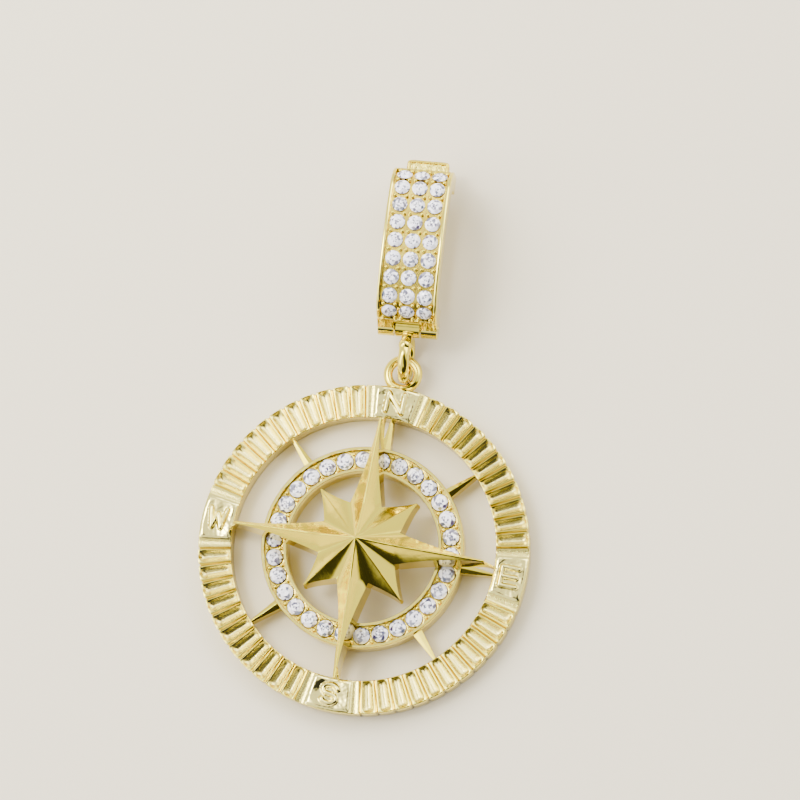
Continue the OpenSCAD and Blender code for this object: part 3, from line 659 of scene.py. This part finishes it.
def arm_grid(k):
    """Points of arm k, from the centre to the tip, across from one valley or edge to the other."""
    length, tip_half, curve = (ARM, ARM_TIP / 2, ARM_CURVE) if k % 2 == 0 else (SHORT, SHORT_TIP / 2, SHORT_CURVE)
    u = np.concatenate([np.linspace(0.02, 1, INNER_ROWS + 1)[:-1] * VALLEY_U,
                        VALLEY_U + (length - VALLEY_U) * np.linspace(0, 1, 22)])
    beyond = np.clip((u - VALLEY_U) / (length - VALLEY_U), 0, 1)
    half = np.where(u < VALLEY_U, u * math.tan(math.pi / 8),
                    tip_half + (VALLEY_V - tip_half) * (1 - beyond) ** curve)
    q = np.array([0, 0.015, 0.03, 0.05, 0.08, 0.13, 0.2, 0.3, 0.42, 0.55, 0.68, 0.8, 0.88, 0.94, 0.98, 1.0])
    q = np.concatenate([-q[:0:-1], q])
    grid = turned(np.stack([np.broadcast_to(u[:, None], (len(u), len(q))), half[:, None] * q,
                            np.zeros((len(u), len(q)))], -1), 45 * k)
    grid[..., 2] = star_height(grid[..., 0], grid[..., 1])
    return grid


grids = [arm_grid(k) for k in range(8)]
rows, cols = grids[0].shape[:2]
print("star's arms:", len(grids), "grid:", (rows, cols))

# %% [markdown]
# The arms become one closed solid. From the valley outwards, an arm's edge drops to the flat underside in a wall
# that leans out a little. A fan of faces closes the underside and the peak, and points that two arms share are
# made one.

# %% Star
number = np.arange(rows * cols).reshape(rows, cols)
side_line = np.concatenate([number[INNER_ROWS:, 0], number[-1, 1:], number[-2:INNER_ROWS - 1:-1, -1]])
star_points, star_faces, start = [], [], 0
for grid in grids:
    line = grid.reshape(-1, 3)[side_line, :2]
    along = np.gradient(line, axis=0)
    outward = np.stack([along[:, 1], -along[:, 0]], -1) / np.linalg.norm(along, axis=1)[:, None]
    outward[[0, -1]] = line[[0, -1]] / np.linalg.norm(line[[0, -1]], axis=1)[:, None] * 0.6
    lean = DRAFT * np.clip((ARM - np.hypot(*line.T)) / 2, 0, 1)[:, None]
    foot = np.concatenate([line + outward * lean, np.full((len(line), 1), STAR_BASE)], 1)
    star_points += [grid.reshape(-1, 3), foot, [[0, 0, star_height(0.0, 0.0)], [0, 0, STAR_BASE]]]
    base, upper_line, i = start + grid[..., 0].size, start + side_line, np.arange(len(line) - 1)
    peak, under = base + len(foot), base + len(foot) + 1
    star_faces += (np.array(grid_faces(rows, cols)) + start).tolist()
    star_faces += [[peak, start + c, start + c + 1] for c in range(cols - 1)]
    star_faces += np.stack([upper_line[:-1], base + i, base + i + 1, upper_line[1:]], -1).tolist()
    star_faces += np.stack([0 * i + under, base + i + 1, base + i], -1).tolist()
    start = under + 1
star_points = np.concatenate(star_points)
_, first, same = np.unique(np.round(star_points, 4), axis=0, return_index=True, return_inverse=True)
star_faces = [[int(same.ravel()[c]) for c in face] for face in star_faces]
piece("star", [(on_disc(star_points[first], STAR_TURN), star_faces)], polished, *DISC, crease=38)

# %% Toes under the long tips
TOE_W = 0.16
toe_side = np.array([(ARM - 0.6, STAR_BASE), (ARM - 0.6, STAR_BASE + 1.5), (ARM - 0.1, RING_H + 2.2),
                     (RIM_IN + 0.15, 2.45), (RIM_IN + 0.15, 1.85), (RIM_IN - 0.15, 1.85)])[::-1]
toe = np.stack([np.insert(toe_side, 1, y, axis=1) for y in (-TOE_W / 2, TOE_W / 2)])
bevelled(piece("toes", [tube(on_disc(toe, 90 * k + STAR_TURN)) for k in range(4)], polished, *DISC))

# %% [markdown]
# ## Eye
#
# The eye at the disc's top is round wire, soldered on. A wire ring is a small circle carried round a large one.
# The wire isn't quite round here: its upper and its lower half have depths of their own.

# %% Eye
def wire_ring(centre, radius, wire, above, below, flat=True, turns=72, sides=20):
    """Points c + (R + w cos b)(cos a, sin a) with w sin b across: a circle of wire, flat or standing along Y.

    Across, the wire's upper half is w times above deep, and its lower half w times below.
    """
    a, b = np.meshgrid(np.linspace(0, 2 * math.pi, turns, endpoint=False),
                       np.linspace(0, 2 * math.pi, sides, endpoint=False), indexing="ij")
    reach, side = radius + wire / 2 * np.cos(b), wire / 2 * np.sin(b) * np.where(b < math.pi, above, below)
    points = np.stack([reach * np.cos(a), reach * np.sin(a), side], -1)
    return (points if flat else np.roll(points, 1, -1)) + centre


EYE_AT, EYE_R, EYE_WIRE, EYE_ABOVE, EYE_BELOW = (0, 15.3, 1.25), 1.27, 0.78, 1.3, 0.95
eye = wire_ring(EYE_AT, EYE_R, EYE_WIRE, EYE_ABOVE, EYE_BELOW)
piece("disc_eye", [ring(on_disc(eye))], polished, *DISC, crease=80)

# %% [markdown]
# ## Bail, front half
#
# The bail's front is a thick curved band with a long gentle arc, two tight ends and a short straight run below
# each. Its face is a sunk field between two rails, filled with stones. One section, drawn across the width, is
# carried along the band. How far out it lies is a formula of the place, so rails, field and end walls come out of
# one grid. Points that would reach into the back half's knuckle are pushed out to its clearance.

# %% Bail's path
BAIL_AT = np.array([1.7962, 15.9051, 0.0])
FRONT_W, FRONT_T, BAIL_H, FRONT_R, FLAT_DEG, END_R = 5.1, 1.6, 7.4, 20.0, 13.4, 2.65
END_Y = (FRONT_R - END_R) * math.sin(math.radians(FLAT_DEG))
END_Z = BAIL_H - FRONT_R + (FRONT_R - END_R) * math.cos(math.radians(FLAT_DEG))
HALF_LEN = END_Y + END_R
PARTING_Z, HINGE_Y, HINGE_Z = 3.3, -HALF_LEN - 0.09, 3.2
BARREL_R, GAP, LUG_HALF, KNUCKLE_HALF = 0.85, 0.1, 1.15, 1.05
FIELD_DEPTH, FIELD_RAIL, FIELD_SHIFT, FIELD_MARGIN = 0.35, 0.28, 0.24, 3
ROWS, COLS, ROW_STEP, COL_STEP, BAIL_STONE = 9, 3, 1.6, 1.49, 1.3
LEG_DEG = 90 + math.degrees((END_Z - PARTING_Z) / END_R)


def on_face(out, degrees):
    """(along, up) of a point that lies out beyond the face: the long arc up to 13.4 degrees, then a tight end.

    Past 90 degrees the face runs straight down, by the length that the turn would have had.
    """
    a = np.radians(np.clip(degrees, -90, 90))
    down = END_R * np.radians(np.clip(np.abs(degrees) - 90, 0, None))
    long_y, long_z = (FRONT_R + out) * np.sin(a), BAIL_H - FRONT_R + (FRONT_R + out) * np.cos(a)
    end_y, end_z = np.sign(a) * END_Y + (END_R + out) * np.sin(a), END_Z + (END_R + out) * np.cos(a) - down
    flat = np.abs(degrees) <= FLAT_DEG
    return np.where(flat, long_y, end_y), np.where(flat, long_z, end_z)


def face_degrees(s):
    """The face's angle at a length s along it from its middle."""
    flat = FRONT_R * math.radians(FLAT_DEG)
    beyond = FLAT_DEG + np.degrees((np.abs(s) - flat) / END_R)
    return np.where(np.abs(s) <= flat, np.degrees(s / FRONT_R), np.sign(s) * beyond)


def along_field(count):
    """Lengths along the face of count places, a row apart, about the field's middle."""
    return (np.arange(count) - (count - 1) / 2) * ROW_STEP - FIELD_SHIFT


def on_field(s, x, out):
    """Points out beyond the face, at a length s along it and x across it, and the face's normals there."""
    degrees = face_degrees(s).ravel()
    a = np.radians(degrees)
    return (np.stack([x.ravel(), *on_face(out, degrees)], -1) + BAIL_AT,
            np.stack([np.zeros_like(a), np.sin(a), np.cos(a)], -1))


def cleared(points, half, beyond):
    """Pushes points away from the hinge line to the clearance, where |x| is beyond the given half, or within it."""
    y, z = points[..., 1] - HINGE_Y, points[..., 2] - HINGE_Z
    away = np.maximum(np.hypot(y, z), 1e-6)
    near = (away < BARREL_R + GAP) & ((np.abs(points[..., 0]) > half) == beyond)
    grow = np.where(near, (BARREL_R + GAP) / away, 1.0)
    return np.stack([points[..., 0], HINGE_Y + y * grow, HINGE_Z + z * grow], -1)


FIELD_LOW, FIELD_TOP = face_degrees(along_field(ROWS + 1)[[0, -1]]) + [-FIELD_MARGIN, FIELD_MARGIN]
print("field from", round(FIELD_LOW, 1), "to", round(FIELD_TOP, 1), "degrees")


# %% Front band's grid
def half_way(field_end):
    """Angles from the middle of the face to one end, close together where the field ends."""
    return np.concatenate([np.linspace(0, FLAT_DEG, 14), np.linspace(FLAT_DEG + 2, field_end - 2, 14),
                           [field_end - 0.3, field_end + 0.3], np.linspace(field_end + 2, 90, 13),
                           np.linspace(90, LEG_DEG, 8)[1:]])


# The section is a list of (x, out beyond the face): up one side, over the face and back along the inside, with
# two points close together at each edge of the notch.
band_deg = np.concatenate([-half_way(-FIELD_LOW)[:0:-1], half_way(FIELD_TOP)])
HALF_W, RAIL_IN, HAIR = FRONT_W / 2, FRONT_W / 2 - FIELD_RAIL, 0.01
half_face = [(HALF_W, -FRONT_T + 0.06), (HALF_W, -0.9), (HALF_W, -0.45), (HALF_W, -0.09), (HALF_W - 0.03, -0.03),
             (HALF_W - 0.09, 0.0), (RAIL_IN + 0.07, 0.0), (RAIL_IN + 0.02, -0.02), (RAIL_IN, -0.07),
             (RAIL_IN - 0.02, -FIELD_DEPTH), (LUG_HALF + HAIR, -FIELD_DEPTH), (LUG_HALF - HAIR, -FIELD_DEPTH)]
half_inside = [HALF_W - 0.06, LUG_HALF + HAIR, LUG_HALF - HAIR]
loop = np.array(half_face + [(-x, out) for x, out in half_face[::-1]]
                + [(-x, -FRONT_T) for x in half_inside] + [(x, -FRONT_T) for x in half_inside[::-1]])
deg_grid = np.broadcast_to(band_deg[:, None], (len(band_deg), len(loop)))
outside = loop[:, 1] > -FRONT_T + 0.2
past_field = (np.abs(loop[:, 0]) < RAIL_IN + HAIR) & outside & ((deg_grid > FIELD_TOP) | (deg_grid < FIELD_LOW))
out_grid = np.where(past_field, 0.0, loop[:, 1])
y_grid, z_grid = on_face(out_grid, deg_grid)
band = cleared(np.stack([np.broadcast_to(loop[:, 0], y_grid.shape), y_grid, z_grid], -1), LUG_HALF, False)
print("front band grid:", band.shape[:2])


# %% Front band with its lugs
def barrel(x0, x1, soft=0.05, sides=40):
    """A round bar along the hinge line from x0 to x1, with softly broken ends."""
    a = np.linspace(0, 2 * math.pi, sides, endpoint=False)
    return np.stack([np.stack([np.full(sides, x), HINGE_Y + r * np.sin(a), HINGE_Z + r * np.cos(a)], -1)
                     for x, r in ((x0, BARREL_R - soft), (x0 + soft, BARREL_R), (x1 - soft, BARREL_R),
                                  (x1, BARREL_R - soft))])


def cheek(x0, x1, soft=0.04, shrink=0.95):
    """The flat run from the front's face down to a lug's barrel, as a bar of four-cornered sections."""
    a = FIELD_LOW - 1
    side = np.array([on_face(0.0, a), on_face(-FRONT_T / 2, a), (HINGE_Y, HINGE_Z),
                     (HINGE_Y - 0.7 * BARREL_R, HINGE_Z + 0.4 * BARREL_R)], float)
    end = side.mean(0) + (side - side.mean(0)) * shrink
    return np.stack([np.insert(corners, 0, x, axis=1)
                     for x, corners in ((x0, end), (x0 + soft, side), (x1 - soft, side), (x1, end))])


# Barrels and cheeks end a hair inside the band's sides, so that no two faces coincide.
lugs = [barrel(LUG_HALF, HALF_W - HAIR), barrel(HAIR - HALF_W, -LUG_HALF),
        cheek(LUG_HALF + 2 * HAIR, HALF_W - 2 * HAIR), cheek(2 * HAIR - HALF_W, -LUG_HALF - 2 * HAIR)]
front = piece("bail_band", [tube(part + BAIL_AT) for part in [band] + lugs], sunk_shaded, "cover", "bail_front", crease=40)
# The field's floor between the stones is marked: it comes out rougher, and darker and warmer as painted shade.
rough_where(front, (out_grid < -FIELD_DEPTH / 2) & outside & (np.abs(loop[:, 0]) < RAIL_IN))

# %% Beads of the bail
col_x = (np.arange(COLS) - (COLS - 1) / 2) * COL_STEP
bead_s, bead_x, bead_side = np.meshgrid(along_field(ROWS + 1), col_x, [-1, 1], indexing="ij")
bead_x += BEAD_SHARE * BAIL_STONE * bead_side
bead_at, bead_normal = on_field(bead_s, bead_x, BEAD_LIFT * BEAD_D - FIELD_DEPTH)
piece("bail_beads", [domes(bead_at, bead_normal, BEAD_D)], polished, "cover", "bail_front", crease=80)

# %% [markdown]
# ## Bail, back half
#
# The back half is a narrower band, bent up at both ends. It is one side view carried across the width, and a
# little smaller at both sides, which softens their edges. Beside the middle knuckle its end follows an arc round
# the hinge line, so that the front's lugs can turn.

# %% Back band and knuckle
BACK_W, BACK_T, BACK_R, BACK_SOFT, CLEAR_DEG = 3.6, 1.0, 3.0, 0.07, 66
BACK, BACK_TOP, BEND_Y, END_STEPS = ("pendant", "bail_back"), PARTING_Z - GAP, HALF_LEN - BACK_R, 8


def bend(radius, start, stop, centre_y):
    """(along, up) round a bend of the back band."""
    a = np.radians(np.linspace(start, stop, 12))
    return np.stack([centre_y + radius * np.cos(a), BACK_R + radius * np.sin(a)], -1)


def inset(outline, by):
    """A counter-clockwise outline with every corner moved inwards."""
    ahead = np.roll(outline, -1, 0) - outline
    ahead /= np.linalg.norm(ahead, axis=1, keepdims=True)
    tangent = ahead + np.roll(ahead, 1, 0)
    tangent /= np.linalg.norm(tangent, axis=1, keepdims=True)
    return outline + by * np.stack([-tangent[:, 1], tangent[:, 0]], -1)


# The outline starts and ends at the hinge end's outer corner. That end is split in steps.
hinge_end = np.linspace([-HALF_LEN + BACK_T, BACK_TOP], [-HALF_LEN, BACK_TOP], END_STEPS + 1)
side_view = np.concatenate([hinge_end[-1:], bend(BACK_R, 180, 270, -BEND_Y), bend(BACK_R, 270, 360, BEND_Y),
                            [[HALF_LEN, BACK_TOP], [HALF_LEN - BACK_T, BACK_TOP]],
                            bend(BACK_R - BACK_T, 360, 270, BEND_Y), bend(BACK_R - BACK_T, 270, 180, -BEND_Y),
                            hinge_end[:-1]])
half_x = [BACK_W / 2, BACK_W / 2 - BACK_SOFT, KNUCKLE_HALF + HAIR / 2, KNUCKLE_HALF - HAIR / 2]
steps_x = np.array([-x for x in half_x] + half_x[::-1])
steps_in = np.where(np.abs(steps_x) == BACK_W / 2, BACK_SOFT, 0.0)
back_grid = cleared(np.stack([np.insert(inset(side_view, by), 0, x, axis=1) for x, by in zip(steps_x, steps_in)]),
                    KNUCKLE_HALF, True)
a = np.radians(np.linspace(0, -CLEAR_DEG, END_STEPS + 1)[:-1])
for section, x, by in zip(back_grid, steps_x, steps_in):
    if abs(x) > KNUCKLE_HALF:
        arc = (BARREL_R + GAP + by) * np.stack([np.cos(a), np.sin(a)], -1) + [HINGE_Y, HINGE_Z]
        section[np.r_[1 - END_STEPS:0, 0], 1:] = arc
knuckle = barrel(-KNUCKLE_HALF, KNUCKLE_HALF)
piece("bail_back_band", [tube(part + BAIL_AT) for part in (back_grid[:, ::-1], knuckle)], polished, *BACK)

# %% [markdown]
# The thumb tab stands out at the back half's upper end. Inside a plain border its face lies a little deeper and
# has a fine grip relief of crossing waves. The ring that holds the disc is soldered under the band: a wire ring
# like the eye, standing up, with a little ball of solder.

# %% Thumb tab
TAB_REACH, TAB_ROOT, TAB_T, TAB_BORDER, TAB_SINK, GRIP_DEPTH = 1.2, 0.5, 0.8, 0.2, 0.1, 0.04


def tab_top():
    """The tab from above, and how far inside its border each point lies.

    The grip is sin(15 x + 1.7 sin 3.1 x) cos(4 y + 2 x) + 0.6 sin(24 x - 5 y), times its depth.
    """
    u, v = np.meshgrid(np.linspace(-1, 1, 120), np.linspace(-1, 1, 44), indexing="ij")
    half_x, half_y = BACK_W / 2, (TAB_REACH + TAB_ROOT) / 2
    pull = round_corners(u, v, 9)
    x, y = u * pull * half_x, HALF_LEN + TAB_REACH - half_y + v * pull * half_y
    edge = np.minimum((1 - np.abs(u)) * half_x, (1 - v) * half_y)
    inside = np.clip((edge - TAB_BORDER) / 0.1, 0, 1)
    grip = np.sin(x * 15 + 1.7 * np.sin(x * 3.1)) * np.cos(4 * y + 2 * x) + 0.6 * np.sin(x * 24 - 5 * y)
    soft = 0.1 * np.clip(1 - edge / 0.14, 0, 1) ** 2
    return np.stack([x, y, BACK_TOP - soft + inside * (GRIP_DEPTH * grip - TAB_SINK)], -1), inside


tab_grid, tab_inside = tab_top()
tab_points, tab_faces = slab(tab_grid, (BACK_TOP - 0.3, BACK_TOP - TAB_T))
# The tab's border and sides are marked and its face is not, so the border and sides come out rougher, darker and
# warmer.
rough_where(piece("bail_tab", [(tab_points + BAIL_AT, tab_faces)], sunk_shaded, *BACK), 1 - tab_inside, rest=1.0)

# %% Ring under the bail, with its solder
LINK_AT, LINK_R, LINK_WIRE, LINK_DEPTH = np.array([0.0, -9.2293, 2.3]), 1.83, 0.76, 1.22
SOLDER_D, SOLDER_TURN = 1.14, math.radians(66)
solder_at = LINK_AT + LINK_R * np.array([[0.0, math.cos(SOLDER_TURN), math.sin(SOLDER_TURN)]])
link_ring = wire_ring(LINK_AT, LINK_R, LINK_WIRE, LINK_DEPTH, LINK_DEPTH, flat=False)
solder = domes(solder_at + BAIL_AT, [0.0, 0.6, 0.8], SOLDER_D, rows=9, cols=18)
piece("bail_ring", [ring(link_ring + BAIL_AT), solder], polished, *BACK, crease=80)

# %% [markdown]
# ## Stones
#
# All stones are the same brilliant: a flat table, eight kites and eight stars round it, sixteen small triangles down
# to the girdle, and a pointed back. The table is split into a rosette, because in a real stone the back's facets
# show through it as a pattern of light and dark, which is painted here. One stone is worked out once and carried to
# every seat, turned by a chance angle from a seeded generator. Every facet gets a painted reflection of its own,
# from clear white to a cool grey.

# %% Brilliant cut
def round_of(count, radius, z, turn=0.0):
    """Points round a circle. A turn of 0.5 puts them half way between their places."""
    a = (np.arange(count) + turn) * 2 * math.pi / count
    return np.stack([radius * np.cos(a), radius * np.sin(a), np.full(count, z)], -1)


TABLE_Z, GIRDLE_HALF = 0.16, 0.015


def brilliant():
    """Corners and facets of a stone of diameter 1 with its girdle at z = 0."""
    corners = np.concatenate([round_of(8, 0.28, TABLE_Z), round_of(8, 0.385, 0.11, 0.5),
                              round_of(16, 0.5, GIRDLE_HALF), round_of(16, 0.5, -GIRDLE_HALF),
                              round_of(8, 0.2, -0.3, 0.5), [[0, 0, -0.42]],
                              round_of(8, 0.15, TABLE_Z, 0.5), [[0, 0, TABLE_Z]]])
    k, g = np.arange(8), np.arange(16)
    nxt = (k + 1) % 8
    table, kite_low, high, low, back, tip = k, 8 + k, 16 + 2 * k, 32 + 2 * k, 48 + k, np.full(8, 56)
    inner, centre = 57 + k, np.full(8, 65)
    rounds = [(inner, inner[nxt], centre), (table, table[nxt], inner), (inner, table[nxt], inner[nxt]),
              (table, kite_low, table[nxt]), (table, kite_low[k - 1], high, kite_low), (kite_low, high, high + 1),
              (kite_low, high + 1, high[nxt]), (16 + g, 32 + g, 32 + (g + 1) % 16, 16 + (g + 1) % 16),
              (low, back, low + 1), (low + 1, back, low[nxt]), (low, back[k - 1], tip, back)]
    return corners, [facet for facets in rounds for facet in np.stack(facets, -1).tolist()]


STONE_SHAPE, STONE_FACETS = brilliant()
print("facets a stone:", len(STONE_FACETS))


# %% Ring's stones
# Painted reflection: this share of the facets is dark, as if it mirrored dark parts of the room, and the rest is
# light, with a faint cool tint.
DARK_REFLECTION_SHARE, DARK_REFLECTIONS, LIGHT_REFLECTIONS, TINT = 0.34, (0.03, 0.25), (0.62, 1.0), 0.02
STONE_SINK = 0.16


def set_stones(name, centres, normals, across, body, node, seed):
    """Carries the brilliant to every seat, with its table along the normal, and gives each facet a painted
    reflection.
    """
    chance = np.random.default_rng(seed)
    spin = chance.uniform(0, 2 * math.pi, len(centres))
    points, faces = carried(STONE_SHAPE * across, STONE_FACETS, centres, normals, spin)
    stones = piece(name, [(points, faces)], stone_finish, body, node, crease=1)
    grey = np.where(chance.random(len(faces)) < DARK_REFLECTION_SHARE, chance.uniform(*DARK_REFLECTIONS, len(faces)),
                    chance.uniform(*LIGHT_REFLECTIONS, len(faces)))
    tint = chance.uniform(-TINT, TINT, len(faces))
    colour = np.stack([grey + tint, grey * 0.98, np.minimum(grey * 1.03 + 0.05, 1.0), np.ones_like(grey)], -1)
    corners = np.repeat(colour, [len(face) for face in faces], axis=0)
    stones.data.color_attributes.new("painted_reflection", "FLOAT_COLOR", "CORNER").data.foreach_set("color", corners.ravel())


ring_at = on_disc(round_of(STONES, RING_MID, RING_H - 0.08 - STONE_SINK * STONE_D, STONES / 4))
set_stones("ring_stone_field", ring_at, UPWARDS, STONE_D, "pendant", "ring_stones", 3)

# %% Bail's stones
seat_s, seat_x = np.meshgrid(along_field(ROWS), col_x, indexing="ij")
seat_at, seat_normal = on_field(seat_s, seat_x, -0.02 - STONE_SINK * BAIL_STONE)
set_stones("bail_stone_field", seat_at, seat_normal, BAIL_STONE, "cover", "bail_stones", 5)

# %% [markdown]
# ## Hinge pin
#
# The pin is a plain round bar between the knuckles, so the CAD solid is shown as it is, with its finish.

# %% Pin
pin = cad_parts["bail_pin"]
pin.data.materials.clear()
pin.data.materials.append(polished)
